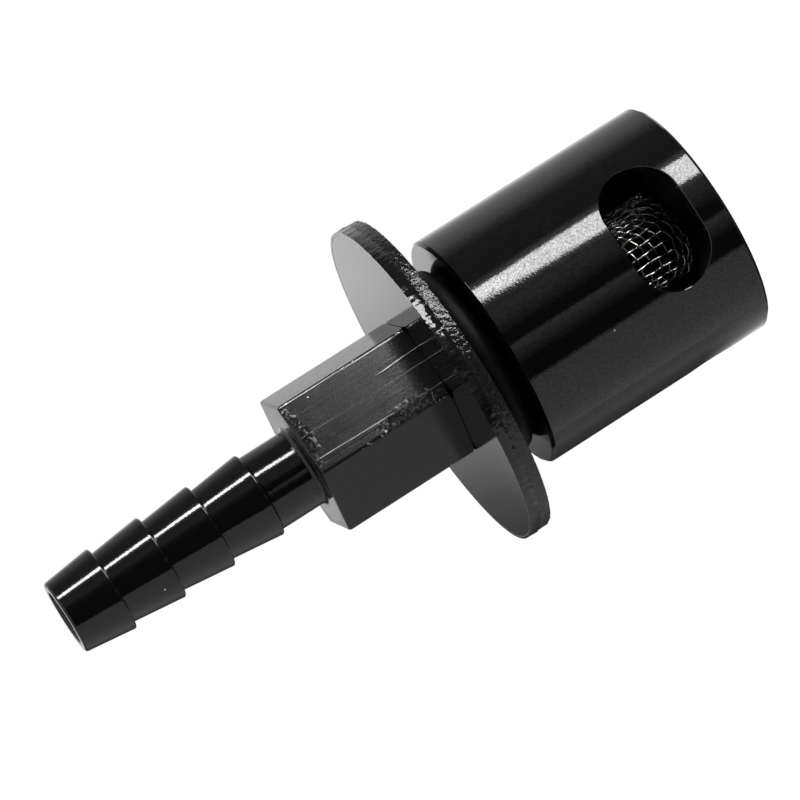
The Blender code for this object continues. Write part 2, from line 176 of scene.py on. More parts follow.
def arc(centre, radius, start, stop, steps):
    """Points on an arc from one angle to another, in degrees."""
    angles = [math.radians(start + (stop - start) * i / steps) for i in range(steps + 1)]
    return [(centre[0] + radius * math.cos(a), centre[1] + radius * math.sin(a)) for a in angles]


def softened(outline, closed=True, steps=4):
    """Round each corner of an outline and hold the walls beside it straight.

    A corner is (radius, height) with the usual rounding, or (radius, height, rounding).
    """
    count = len(outline)
    rings = []
    for i, corner in enumerate(outline):
        here = Vector(corner[:2])
        rounding = corner[2] if len(corner) > 2 else CORNER
        if rounding == 0.0 or (not closed and i in (0, count - 1)):
            rings.append(tuple(here))
            continue
        back = Vector(outline[i - 1][:2]) - here
        ahead = Vector(outline[(i + 1) % count][:2]) - here
        half = back.angle(ahead) / 2
        if half > math.radians(88.0):
            rings.append(tuple(here))
            continue
        reach = min(rounding / math.tan(half), 0.4 * back.length, 0.4 * ahead.length)
        radius = reach * math.tan(half)
        back_way, ahead_way = back.normalized(), ahead.normalized()
        centre = here + (back_way + ahead_way).normalized() * radius / math.sin(half)
        first, last = here + back_way * reach - centre, here + ahead_way * reach - centre
        sweep = first.angle_signed(last)
        if back.length > 2 * (reach + HOLD):
            rings.append(tuple(here + back_way * (reach + HOLD)))
        for step in range(steps + 1):
            turn = Matrix.Rotation(-sweep * step / steps, 2)
            rings.append(tuple(centre + turn @ first))
        if ahead.length > 2 * (reach + HOLD):
            rings.append(tuple(here + ahead_way * (reach + HOLD)))
    return rings


def turned(name, rings, turns=TURNS, closed=True):
    """Turn an outline: one ring is added, then drawn out to each next ring."""
    radius, height = rings[0]
    bpy.ops.object.select_all(action="DESELECT")
    bpy.ops.mesh.primitive_circle_add(vertices=turns, radius=radius, location=(0, 0, height))
    piece = new_piece(name)
    apply_place(piece)
    bpy.ops.object.mode_set(mode="EDIT")
    bpy.ops.mesh.select_mode(type="EDGE")
    bpy.ops.mesh.select_all(action="SELECT")
    for next_radius, next_height in rings[1:] + (rings[:1] if closed else []):
        bpy.ops.mesh.extrude_region_move(TRANSFORM_OT_translate={"value": (0, 0, next_height - height)})
        share = next_radius / radius
        bpy.ops.transform.resize(value=(share, share, 1), center_override=(0, 0, next_height))
        radius, height = next_radius, next_height
    bpy.ops.mesh.select_all(action="SELECT")
    bpy.ops.mesh.remove_doubles(threshold=WELD)
    if not closed:
        bpy.ops.mesh.fill_holes(sides=0)
    bpy.ops.mesh.normals_make_consistent(inside=False)
    bpy.ops.object.mode_set(mode="OBJECT")
    return piece


# Vent head

def slot_tool(index):
    """A round bar pulled apart to an obround, reaching from the bore outward."""
    end = SLOT_WIDTH / 2
    half = SLOT_ACROSS / 2 - end
    reach = HEAD_RADIUS
    bpy.ops.object.select_all(action="DESELECT")
    bpy.ops.mesh.primitive_cylinder_add(vertices=94, radius=end, depth=reach,
                                        location=(0, -SLOT_FLOOR - reach / 2, 0),
                                        rotation=(math.pi / 2, 0, 0))
    tool = new_piece(f"slot_tool_{index + 1}")
    apply_place(tool)
    for side in (-1, 1):
        bpy.ops.object.mode_set(mode="EDIT")
        bpy.ops.mesh.select_all(action="DESELECT")
        bpy.ops.object.mode_set(mode="OBJECT")
        for vertex in tool.data.vertices:
            vertex.select = vertex.co.x * side > 0.02 * MM
        bpy.ops.object.mode_set(mode="EDIT")
        bpy.ops.transform.translate(value=(side * half, 0, 0))
        bpy.ops.object.mode_set(mode="OBJECT")
    tool.location = (0, 0, SLOT_CENTRE)
    apply_place(tool)
    tool.rotation_euler = (0, 0, math.tau * index / SLOT_COUNT)
    apply_place(tool)
    return tool


def on_slot_edge(point):
    """Whether a point lies on the sharp rim of one of the slots."""
    if abs(point.xy.length - HEAD_RADIUS) > 0.03 * MM:
        return False
    end = SLOT_WIDTH / 2
    half = SLOT_ACROSS / 2 - end
    for index in range(SLOT_COUNT):
        turn = -math.pi / 2 + math.tau * index / SLOT_COUNT
        ahead = point.x * math.cos(turn) + point.y * math.sin(turn)
        across = abs(point.y * math.cos(turn) - point.x * math.sin(turn))
        beyond = max(0.0, across - half)
        if ahead > 0 and abs(math.hypot(beyond, point.z - SLOT_CENTRE) - end) < 0.02 * MM:
            return True
    return False


def break_slot_edges(head):
    """Take the sharp edge off each slot, once the cuts' tiny edges are merged."""
    pick_edges(head, lambda a, b: on_slot_edge(a) and on_slot_edge(b))
    bpy.ops.mesh.remove_doubles(threshold=0.06 * MM)
    bpy.ops.object.mode_set(mode="OBJECT")
    pick_edges(head, lambda a, b: on_slot_edge(a) and on_slot_edge(b))
    bpy.ops.mesh.bevel(offset=SLOT_BREAK, segments=2, profile=0.35, affect="EDGES", clamp_overlap=False)
    bpy.ops.object.mode_set(mode="OBJECT")


def true_round(head):
    """Shade the turned side as a true cylinder, also beside the cuts in it."""
    mesh = head.data
    normals = [corner.vector.copy() for corner in mesh.corner_normals]
    for face in mesh.polygons:
        if abs(face.normal.z) > 0.01 or abs(face.center.xy.length - HEAD_RADIUS) > 0.02 * MM:
            continue
        for corner in face.loop_indices:
            point = mesh.vertices[mesh.loops[corner].vertex_index].co
            normals[corner] = Vector((point.x, point.y, 0.0)).normalized()
    mesh.normals_split_custom_set(normals)


def vent_head():
    outline = [
        (5.5 * MM, HEAD_CEILING),
        (GAUZE_BORE_RADIUS, HEAD_CEILING, 0.4 * MM),
        (GAUZE_BORE_RADIUS, SHOULDER_HEIGHT),
        (BORE_RADIUS, SHOULDER_HEIGHT),
        (BORE_RADIUS, CLIP_TOP + 0.3 * MM),
        (GROOVE_RADIUS, CLIP_TOP + 0.3 * MM),
        (GROOVE_RADIUS, CLIP_BOTTOM - 0.3 * MM),
        (BORE_RADIUS, CLIP_BOTTOM - 0.3 * MM),
        (BORE_RADIUS, -SPIGOT_LENGTH + SPIGOT_EDGE),
        (BORE_RADIUS + SPIGOT_EDGE, -SPIGOT_LENGTH),
        (SPIGOT_RADIUS - SPIGOT_EDGE, -SPIGOT_LENGTH),
        (SPIGOT_RADIUS, -SPIGOT_LENGTH + SPIGOT_EDGE),
        (SPIGOT_RADIUS, 0.0, 0.15 * MM),
        (HEAD_RADIUS - HEAD_EDGE, 0.0),
        (HEAD_RADIUS, HEAD_EDGE),
        (HEAD_RADIUS, HEAD_LENGTH - HEAD_EDGE),
        (HEAD_RADIUS - HEAD_EDGE, HEAD_LENGTH),
        (12.5 * MM, HEAD_LENGTH),
    ]
    head = turned("turned_head", softened(outline, closed=False), closed=False)
    for index in range(SLOT_COUNT):
        cut(head, "DIFFERENCE", slot_tool(index))
    break_slot_edges(head)
    polish(head, math.radians(24.0), keep_flat=True)
    true_round(head)
    return head


# Hose tail

def barb(peak):
    nose = arc((BARB_PEAK_RADIUS - BARB_NOSE, peak), BARB_NOSE, 80.0, -6.5, 8)
    return [(BARB_ROOT_RADIUS, peak + BARB_STEP)] + nose


def hexagon():
    """A hexagon bar with broken edges, chamfered where it meets the washer."""
    corner = HEX_ACROSS_FLATS / 2 / math.cos(math.radians(30.0))
    above = 1.0 * MM
    bpy.ops.object.select_all(action="DESELECT")
    bpy.ops.mesh.primitive_cylinder_add(vertices=6, radius=corner, depth=HEX_TOP + above - HEX_BOTTOM,
                                        location=(0, 0, (HEX_TOP + above + HEX_BOTTOM) / 2),
                                        rotation=(0, 0, HEX_TURN))
    bar = new_piece("hexagon_bar")
    apply_place(bar)
    pick_edges(bar, lambda a, b: True)
    bpy.ops.mesh.bevel(offset=0.34 * MM, segments=3, profile=0.535, affect="EDGES")
    bpy.ops.object.mode_set(mode="OBJECT")
    inside = 4.0 * MM
    slope = math.tan(math.radians(30.0))
    blank = turned("hexagon_blank", [
        (inside, HEX_TOP),
        (corner - HEX_CHAMFER, HEX_TOP),
        (corner + HEX_CHAMFER, HEX_TOP - 2 * HEX_CHAMFER * slope),
        (corner + HEX_CHAMFER, HEX_BOTTOM - above),
        (inside, HEX_BOTTOM - above),
    ])
    cut(bar, "INTERSECT", blank)
    return bar


def hose_tail():
    middle = (HEX_TOP + HEX_BOTTOM) / 2
    shoulder = NECK_RADIUS + NECK_FILLET
    outline = [(STUB_RADIUS - STUB_EDGE, STUB_TOP), (STUB_RADIUS, STUB_TOP - STUB_EDGE)]
    outline += [(STUB_RADIUS, middle), (shoulder, middle)]
    outline += arc((shoulder, HEX_BOTTOM - NECK_FILLET), NECK_FILLET, 90.0, 180.0, 12)
    outline += [(NECK_RADIUS, BARB_PEAKS[0] + BARB_STEP)]
    for peak in BARB_PEAKS:
        outline += barb(peak)
    outline += softened([
        (BARB_ROOT_RADIUS + 0.1 * MM, TAIL_END + 1.0 * MM, 0.0),
        (BARB_ROOT_RADIUS, TAIL_END + TIP_EDGE),
        (BARB_ROOT_RADIUS - TIP_EDGE, TAIL_END),
        (TAIL_BORE_RADIUS + TAIL_BORE_EDGE, TAIL_END),
        (TAIL_BORE_RADIUS, TAIL_END + TAIL_BORE_EDGE),
        (TAIL_BORE_RADIUS, STUB_TOP - TAIL_BORE_EDGE),
        (TAIL_BORE_RADIUS + TAIL_BORE_EDGE, STUB_TOP),
    ], closed=False)
    tail = turned("turned_tail", outline)
    cut(tail, "UNION", hexagon())
    polish(tail, math.radians(18.0), keep_flat=True)
    return tail


# Clamp washer and panel seal

def clamp_washer():
    """A stamped washer: rolled over on one side, sheared then torn round its rim."""
    sheared = WASHER_BOTTOM + WASHER_ROLL + 0.85 * MM
    torn_depth = 0.10 * MM
    torn_rows = 9
    outline = [(WASHER_HOLE, WASHER_TOP), (WASHER_HOLE, WASHER_BOTTOM, 0.2 * MM),
               (WASHER_RADIUS, WASHER_BOTTOM, WASHER_ROLL)]
    outline = softened(outline, closed=False, steps=10)
    outline += [(WASHER_RADIUS, sheared)]
    for row in range(torn_rows):
        outline += [(WASHER_RADIUS - torn_depth, sheared + (WASHER_TOP - sheared) * (row + 0.6) / torn_rows)]
    outline += [(WASHER_RADIUS - 2 * torn_depth, WASHER_TOP)]
    washer = turned("stamped_washer", outline, turns=512)
    pick_edges(washer, lambda a, b: min(a.z, b.z) > sheared - 0.02 * MM
               and min(a.xy.length, b.xy.length) > WASHER_RADIUS - 1.5 * torn_depth)
    bpy.ops.transform.vertex_random(offset=0.05 * MM, uniform=1.0, normal=0.0, seed=7)
    bpy.ops.object.mode_set(mode="OBJECT")
    polish(washer, math.radians(60.0), keep_flat=True)
    return washer


def panel_seal():
    """An O-ring with the faint flash line that its mould leaves."""
    bpy.ops.object.select_all(action="DESELECT")
    bpy.ops.mesh.primitive_torus_add(major_radius=SEAL_CENTRE_RADIUS, minor_radius=SEAL_SECTION / 2,
                                     major_segments=TURNS, minor_segments=48, location=(0, 0, SEAL_HEIGHT))
    seal = new_piece("moulded_seal")
    apply_place(seal)
    outermost = SEAL_CENTRE_RADIUS + SEAL_SECTION / 2 - 0.002 * MM
    pick_edges(seal, lambda a, b: min(a.xy.length, b.xy.length) > outermost)
    bpy.ops.mesh.bevel(offset=0.06 * MM, segments=2, affect="EDGES")
    bpy.ops.object.mode_set(mode="OBJECT")
    polish(seal)
    return seal


# Woven gauze

def lay(point):
    """The place on the thimble below a point: its upright wall or its rounded crown."""
    if point.z < GAUZE_CENTRE:
        share = GAUZE_RADIUS / point.xy.length
        return Vector((point.x * share, point.y * share, point.z))
    crown = Vector((point.x / GAUZE_RADIUS, point.y / GAUZE_RADIUS, (point.z - GAUZE_CENTRE) / GAUZE_CROWN))
    crown.normalize()
    return Vector((crown.x * GAUZE_RADIUS, crown.y * GAUZE_RADIUS, GAUZE_CENTRE + crown.z * GAUZE_CROWN))


def outward(point):
    rise = max(0.0, point.z - GAUZE_CENTRE) * (GAUZE_RADIUS / GAUZE_CROWN) ** 2
    return Vector((point.x, point.y, rise)).normalized()


def one_mesh_from(knot, spot):
    return knot + (spot - knot).normalized() * MESH


def crown_wire(turn):
    """Knots one mesh apart along a wire that runs straight down from the crown."""
    ahead = Vector((math.cos(turn), math.sin(turn), 0.0))
    across = Vector((-ahead.y, ahead.x, 0.0))
    knots = [Vector((0.0, 0.0, GAUZE_CENTRE + GAUZE_CROWN))]
    for step in range(MESH_REACH):
        spot = knots[-1] + ahead * MESH
        for settle in range(8):
            spot = lay(spot)
            spot = one_mesh_from(knots[-1], spot - across * spot.dot(across))
        ahead = (spot - knots[-1]).normalized()
        knots.append(spot)
    return knots


def drape():
    """The flat cloth pressed over the thimble: every knot stays one mesh from its neighbours."""
    knots = {}
    for side, other in ((1, 1), (1, -1), (-1, 1), (-1, -1)):
        first = crown_wire(MESH_TURN + (0.0 if side > 0 else math.pi))
        second = crown_wire(MESH_TURN + MESH_SKEW + other * math.pi / 2)
        quarter = {(i, 0): knot for i, knot in enumerate(first)}
        quarter.update({(0, j): knot for j, knot in enumerate(second)})
        for i in range(1, MESH_REACH + 1):
            for j in range(1, MESH_REACH + 1):
                near = [quarter.get(place) for place in ((i - 1, j), (i, j - 1), (i - 1, j - 1))]
                if None in near or min(near[0].z, near[1].z) < GAUZE_FOOT - MESH:
                    continue
                spot = lay(near[0] + near[1] - near[2])
                for settle in range(12):
                    middle = (one_mesh_from(near[0], spot) + one_mesh_from(near[1], spot)) / 2
                    spot = lay(middle + (middle - spot) / 2)
                if abs((spot - near[0]).length - MESH) < MESH / 3:
                    quarter[i, j] = spot
        knots.update({(i * side, j * other): knot for (i, j), knot in quarter.items()})
    return knots


def wire_runs(knots, along):
    """The unbroken rows of knots one way, each with the side of the cloth it starts on."""
    runs = []
    for line in range(-MESH_REACH, MESH_REACH + 1):
        run = []
        for step in range(-MESH_REACH, MESH_REACH + 2):
            place = (step, line) if along else (line, step)
            if place in knots and knots[place].z > GAUZE_FOOT - MESH:
                run.append(place)
            elif run:
                runs.append(run)
                run = []
    return [run for run in runs if len(run) > 2]


def through(a, b, c, d, share):
    """A smooth path from b to c that comes from a and goes on to d."""
    bend = (2 * a - 5 * b + 4 * c - d) * share ** 2 + (3 * b - a - 3 * c + d) * share ** 3
    return b + ((c - a) * share + bend) / 2


def gauze():
    """Stainless wires woven over and under, along and across the draped cloth."""
    rough = random.Random(5)
    knots = drape()
    for place, knot in knots.items():
        push = Vector([rough.uniform(-1, 1) for axis in range(3)]) * 0.07 * MM
        knots[place] = lay(knot + push)
    curve = bpy.data.curves.new("woven_gauze", "CURVE")
    curve.dimensions = "3D"
    curve.bevel_depth = WIRE_RADIUS
    curve.bevel_resolution = 2
    curve.use_fill_caps = True
    steps = 5
    for along in (True, False):
        for run in wire_runs(knots, along):
            ends = [run[0]] + run + [run[-1]]
            points = []
            for i in range(1, len(ends) - 2):
                a, b, c, d = [knots[place] for place in ends[i - 1:i + 3]]
                side = (1 if sum(ends[i]) % 2 else -1) * (1 if along else -1)
                for step in range(steps):
                    spot = lay(through(a, b, c, d, step / steps))
                    spot += outward(spot) * side * WIRE_RADIUS * math.cos(math.pi * step / steps)
                    points.append(spot)
            points = [spot for spot in points if spot.z > GAUZE_FOOT]
            if len(points) < 3:
                continue
            wire = curve.splines.new("POLY")
            wire.points.add(len(points) - 1)
            for point, spot in zip(wire.points, points):
                lean = THIMBLE_LEAN * min(1.0, max(0.0, (spot.z - SHOULDER_HEIGHT) / (4 * MM)))
                point.co = (spot.x - lean, spot.y, spot.z, 1)
    piece = bpy.data.objects.new("woven_gauze", curve)
    bpy.context.scene.collection.objects.link(piece)
    only(piece)
    bpy.ops.object.convert(target="MESH")
    piece = bpy.context.object
    polish(piece, math.radians(60.0))
    return piece


# Shared effects, as node groups

def effect(name, inputs, outputs):
    """An empty node group with named number inputs and outputs."""
    tree = bpy.data.node_groups.new(name, "ShaderNodeTree")
    for socket, value in inputs.items():
        tree.interface.new_socket(name=socket, in_out="INPUT", socket_type="NodeSocketFloat").default_value = value
    for socket in outputs:
        tree.interface.new_socket(name=socket, in_out="OUTPUT", socket_type="NodeSocketFloat")
    return tree, tree.nodes.new("NodeGroupInput"), tree.nodes.new("NodeGroupOutput")


def add(tree, kind, settings=None, **values):
    """Add a node, set its options, and set its inputs by name."""
    node = tree.nodes.new(kind)
    for key, value in (settings or {}).items():
        setattr(node, key, value)
    for key, value in values.items():
        node.inputs[key.replace("_", " ")].default_value = value
    return node


def plug(tree, source, target):
    """Join an output to an input; a plain number is set instead."""
    if isinstance(source, (int, float)):
        target.default_value = source
    else:
        tree.links.new(source, target)


def sum_of(tree, operation, *terms):
    node = add(tree, "ShaderNodeMath", {"operation": operation})
    for term, socket in zip(terms, node.inputs):
        plug(tree, term, socket)
    return node.outputs[0]


def ramp(tree, value, low, high, to_low=0.0, to_high=1.0):
    """A smooth step of a value from one level to another."""
    node = add(tree, "ShaderNodeMapRange", {"interpolation_type": "SMOOTHSTEP"})
    for source, socket in zip((value, low, high, to_low, to_high), node.inputs):
        plug(tree, source, socket)
    return node.outputs[0]


def round_the_axis(tree):
    """Object coordinates as a direction round the axis, a radius and a height."""
    place = add(tree, "ShaderNodeTexCoord").outputs["Object"]
    parts = add(tree, "ShaderNodeSeparateXYZ")
    tree.links.new(place, parts.inputs[0])
    x, y, z = parts.outputs
    radius = sum_of(tree, "SQRT", sum_of(tree, "ADD", sum_of(tree, "MULTIPLY", x, x), sum_of(tree, "MULTIPLY", y, y)))
    return place, sum_of(tree, "DIVIDE", x, radius), sum_of(tree, "DIVIDE", y, radius), radius, z


def noise(tree, vector, scale, detail, roughness=0.5):
    node = add(tree, "ShaderNodeTexNoise", Roughness=roughness)
    tree.links.new(vector, node.inputs["Vector"])
    plug(tree, scale, node.inputs["Scale"])
    plug(tree, detail, node.inputs["Detail"])
    return node.outputs["Fac"]


def turning_marks():
    """Fine strokes that the lathe leaves round the axis, on sides and faces alike."""
    tree, given, out = effect("turning_marks", {"Per Metre": 5000.0, "Strokes Round": 16.0, "Detail": 3.0}, ["Height"])
    place, east, north, radius, height = round_the_axis(tree)
    vector = add(tree, "ShaderNodeCombineXYZ")
    plug(tree, sum_of(tree, "MULTIPLY", east, given.outputs["Strokes Round"]), vector.inputs["X"])
    plug(tree, sum_of(tree, "MULTIPLY", north, given.outputs["Strokes Round"]), vector.inputs["Y"])
    run = sum_of(tree, "MULTIPLY", sum_of(tree, "ADD", radius, height), given.outputs["Per Metre"])
    plug(tree, run, vector.inputs["Z"])
    plug(tree, noise(tree, vector.outputs[0], 1.0, given.outputs["Detail"], 0.6), out.inputs["Height"])
    return tree


def milled_lines():
    """Long lines that a cutter leaves along the axis, and the few that it digs deeper."""
    tree, given, out = effect("milled_lines", {"Per Metre": 3000.0, "Stretch": 25.0, "Detail": 4.0, "Deep": 0.60},
                              ["Height", "Ridge"])
    place = add(tree, "ShaderNodeTexCoord").outputs["Object"]
    parts = add(tree, "ShaderNodeSeparateXYZ")
    tree.links.new(place, parts.inputs[0])
    vector = add(tree, "ShaderNodeCombineXYZ")
    plug(tree, parts.outputs[0], vector.inputs[0])
    plug(tree, parts.outputs[1], vector.inputs[1])
    plug(tree, sum_of(tree, "DIVIDE", parts.outputs[2], given.outputs["Stretch"]), vector.inputs[2])
    lines = noise(tree, vector.outputs[0], given.outputs["Per Metre"], given.outputs["Detail"], 0.65)
    plug(tree, lines, out.inputs["Height"])
    broad = noise(tree, vector.outputs[0], sum_of(tree, "MULTIPLY", given.outputs["Per Metre"], 0.4), 1.0)
    deeper = sum_of(tree, "ADD", given.outputs["Deep"], 0.03)
    plug(tree, ramp(tree, broad, given.outputs["Deep"], deeper), out.inputs["Ridge"])
    return tree


def speckle():
    """Fine even grain of a blasted, anodised or moulded skin."""
    tree, given, out = effect("speckle", {"Per Metre": 3000.0, "Detail": 4.0}, ["Height"])
    place = add(tree, "ShaderNodeTexCoord").outputs["Object"]
    plug(tree, noise(tree, place, given.outputs["Per Metre"], given.outputs["Detail"], 0.6), out.inputs["Height"])
    return tree


def dust():
    """Sparse pale specks of dust."""
    tree, given, out = effect("dust", {"Per Metre": 330.0, "Size": 0.045, "Share": 0.35}, ["Mask"])
    cells = add(tree, "ShaderNodeTexVoronoi")
    place = add(tree, "ShaderNodeTexCoord").outputs["Object"]
    tree.links.new(place, cells.inputs["Vector"])
    tree.links.new(given.outputs["Per Metre"], cells.inputs["Scale"])
    parts = add(tree, "ShaderNodeSeparateColor")
    tree.links.new(cells.outputs["Color"], parts.inputs[0])
    size = sum_of(tree, "MULTIPLY", given.outputs["Size"], parts.outputs[1])
    near = sum_of(tree, "LESS_THAN", cells.outputs["Distance"], size)
    picked = sum_of(tree, "LESS_THAN", parts.outputs[0], given.outputs["Share"])
    plug(tree, sum_of(tree, "MULTIPLY", near, picked), out.inputs["Mask"])
    return tree


def bruise():
    """A knocked patch round a place, with a ragged border."""
    tree, given, out = effect("bruise", {"X": 0.0, "Y": 0.0, "Z": 0.0, "Reach": 1.0 * MM, "Along": 3.0}, ["Mask"])
    place = add(tree, "ShaderNodeTexCoord").outputs["Object"]
    parts = add(tree, "ShaderNodeSeparateXYZ")
    tree.links.new(place, parts.inputs[0])
    offset = add(tree, "ShaderNodeCombineXYZ")
    for axis, name in enumerate("XYZ"):
        away = sum_of(tree, "SUBTRACT", parts.outputs[axis], given.outputs[name])
        if name == "Z":
            away = sum_of(tree, "DIVIDE", away, given.outputs["Along"])
        plug(tree, away, offset.inputs[axis])
    length = add(tree, "ShaderNodeVectorMath", {"operation": "LENGTH"})
    tree.links.new(offset.outputs[0], length.inputs[0])
    share = sum_of(tree, "DIVIDE", length.outputs["Value"], given.outputs["Reach"])
    ragged = sum_of(tree, "ADD", share, noise(tree, place, 1400.0, 3.0, 0.6))
    plug(tree, ramp(tree, ragged, 1.55, 1.15), out.inputs["Mask"])
    return tree


def worn_edge():
    """Rare nicks where a wall's radius comes close to an edge, in patches along it."""
    tree, given, out = effect("worn_edge", {"Edge Radius": 9.2 * MM, "Width": 0.2 * MM, "Share": 0.5}, ["Mask"])
    place, east, north, radius, height = round_the_axis(tree)
    from_edge = sum_of(tree, "ABSOLUTE", sum_of(tree, "SUBTRACT", given.outputs["Edge Radius"], radius))
    gap = sum_of(tree, "DIVIDE", from_edge, given.outputs["Width"])
    chips = noise(tree, place, 2600.0, 4.0, 0.7)
    patches = sum_of(tree, "MULTIPLY", noise(tree, place, 300.0, 2.0), -0.6)
    level = sum_of(tree, "ADD", sum_of(tree, "ADD", given.outputs["Share"], patches), sum_of(tree, "MULTIPLY", gap, 0.35))
    plug(tree, ramp(tree, chips, level, sum_of(tree, "ADD", level, 0.05)), out.inputs["Mask"])
    return tree


# Materials

def shader_tree(name):
    material = bpy.data.materials.new(name)
    material.use_nodes = True
    return material, material.node_tree, material.node_tree.nodes["Principled BSDF"]


def placed(tree, group, output=0, **values):
    """Place a shared effect in a material, with its own values."""
    node = add(tree, "ShaderNodeGroup", {"node_tree": group})
    for key, value in values.items():
        node.inputs[key.replace("_", " ")].default_value = value
    return node.outputs[output]


def relief(tree, shader, *layers):
    """Stack bumps, each a height and its depth in metres, into the shader's normal."""
    below = None
    for height, depth in layers:
        bump = add(tree, "ShaderNodeBump", Strength=1.0, Distance=depth)
        tree.links.new(height, bump.inputs["Height"])
        if below:
            tree.links.new(below, bump.inputs["Normal"])
        below = bump.outputs["Normal"]
    tree.links.new(below, shader.inputs["Normal"])


def blend(tree, factor, low, high):
    """Mix two colours by a mask."""
    node = add(tree, "ShaderNodeMix", {"data_type": "RGBA"})
    tree.links.new(factor, node.inputs["Factor"])
    for color, socket in zip((low, high), (node.inputs[6], node.inputs[7])):
        if isinstance(color, tuple):
            socket.default_value = (*color, 1)
        else:
            tree.links.new(color, socket)
    return node.outputs[2]


def head_anodise():
    """Gloss black anodise over a turned head, dull in its bore, with a little dust."""
    material, tree, shader = shader_tree("head black anodise")
    shader.inputs["Specular IOR Level"].default_value = 0.58
    strokes = placed(tree, TURNING_MARKS, Per_Metre=5200.0, Strokes_Round=40.0, Detail=1.0)
    grain = placed(tree, SPECKLE, Per_Metre=6000.0, Detail=1.0)
    flecks = ramp(tree, placed(tree, MILLED_LINES, Per_Metre=7200.0, Stretch=2.0, Detail=1.0), 0.42, 0.60, 0.0, 0.34)
    specks = placed(tree, DUST)
    tree.links.new(blend(tree, specks, (0.0020, 0.0020, 0.0022), (0.35, 0.34, 0.32)), shader.inputs["Base Color"])
    place, east, north, radius, height = round_the_axis(tree)
    inside = ramp(tree, radius, HEAD_RADIUS - 1.2 * MM, HEAD_RADIUS - 0.4 * MM, 0.97, 0.0)
    between_ends = sum_of(tree, "MULTIPLY", sum_of(tree, "LESS_THAN", height, HEAD_CEILING + 0.1 * MM),
                          sum_of(tree, "GREATER_THAN", height, HEAD_EDGE + 0.1 * MM))
    inside = sum_of(tree, "MULTIPLY", inside, between_ends)
    plug(tree, sum_of(tree, "MAXIMUM", inside, flecks), shader.inputs["Metallic"])
    rough = ramp(tree, placed(tree, SPECKLE, Per_Metre=420.0), 0.3, 0.7, 0.035, 0.05)
    rough = sum_of(tree, "ADD", rough, sum_of(tree, "MULTIPLY", inside, 0.25))
    tree.links.new(sum_of(tree, "ADD", rough, specks), shader.inputs["Roughness"])
    relief(tree, shader, (strokes, 0.004 * MM), (grain, 0.003 * MM))
    return material


def tail_anodise():
    """The same anodise over a turned tail, with milled flats and knocked corners."""
    material, tree, shader = shader_tree("tail black anodise")
    strokes = placed(tree, TURNING_MARKS, Per_Metre=4200.0, Strokes_Round=14.0, Detail=1.0)
    lines = placed(tree, MILLED_LINES, Per_Metre=4200.0, Stretch=40.0)
    ridges = placed(tree, MILLED_LINES, "Ridge", Per_Metre=2600.0, Stretch=70.0, Deep=0.54)
    grain = placed(tree, SPECKLE, Per_Metre=4500.0, Detail=1.0)
    chips = ramp(tree, placed(tree, SPECKLE, Per_Metre=2400.0), 0.50, 0.58)
    place, east, north, radius, height = round_the_axis(tree)
    on_flats = ramp(tree, radius, STUB_RADIUS + 0.1 * MM, STUB_RADIUS + 0.3 * MM)
    knock = placed(tree, BRUISE, X=1.9 * MM, Y=-8.6 * MM, Z=-11.8 * MM, Reach=1.2 * MM, Along=3.4)
    scuff = placed(tree, BRUISE, X=-1.8 * MM, Y=-7.8 * MM, Z=HEX_BOTTOM + 0.2 * MM, Reach=4.0 * MM, Along=0.35)
    torn = sum_of(tree, "MULTIPLY", chips, sum_of(tree, "MAXIMUM", knock, scuff))
    nicks = placed(tree, WORN_EDGE, Edge_Radius=9.15 * MM, Width=0.16 * MM, Share=0.90)
    nicks = sum_of(tree, "MULTIPLY", nicks, on_flats)
    specks = placed(tree, DUST)
    bare = sum_of(tree, "MAXIMUM", nicks, specks)
    tree.links.new(blend(tree, bare, (0.0020, 0.0020, 0.0022), (0.45, 0.44, 0.42)), shader.inputs["Base Color"])
    tree.links.new(nicks, shader.inputs["Metallic"])
    rough = ramp(tree, placed(tree, SPECKLE, Per_Metre=420.0), 0.3, 0.7, 0.045, 0.065)
    unhurt = sum_of(tree, "SUBTRACT", 1.0, sum_of(tree, "MAXIMUM", knock, scuff))
    rough = sum_of(tree, "ADD", rough, sum_of(tree, "MULTIPLY", sum_of(tree, "MULTIPLY", on_flats, unhurt), 0.10))
    tree.links.new(sum_of(tree, "ADD", rough, sum_of(tree, "MULTIPLY", bare, 0.2)), shader.inputs["Roughness"])
    on_turned = sum_of(tree, "SUBTRACT", 1.0, on_flats)
    relief(tree, shader, (sum_of(tree, "MULTIPLY", strokes, on_turned), 0.005 * MM),
           (sum_of(tree, "MULTIPLY", lines, on_flats), 0.0070 * MM),
           (sum_of(tree, "MULTIPLY", ridges, on_flats), 0.010 * MM), (torn, 0.05 * MM), (grain, 0.002 * MM))
    return material


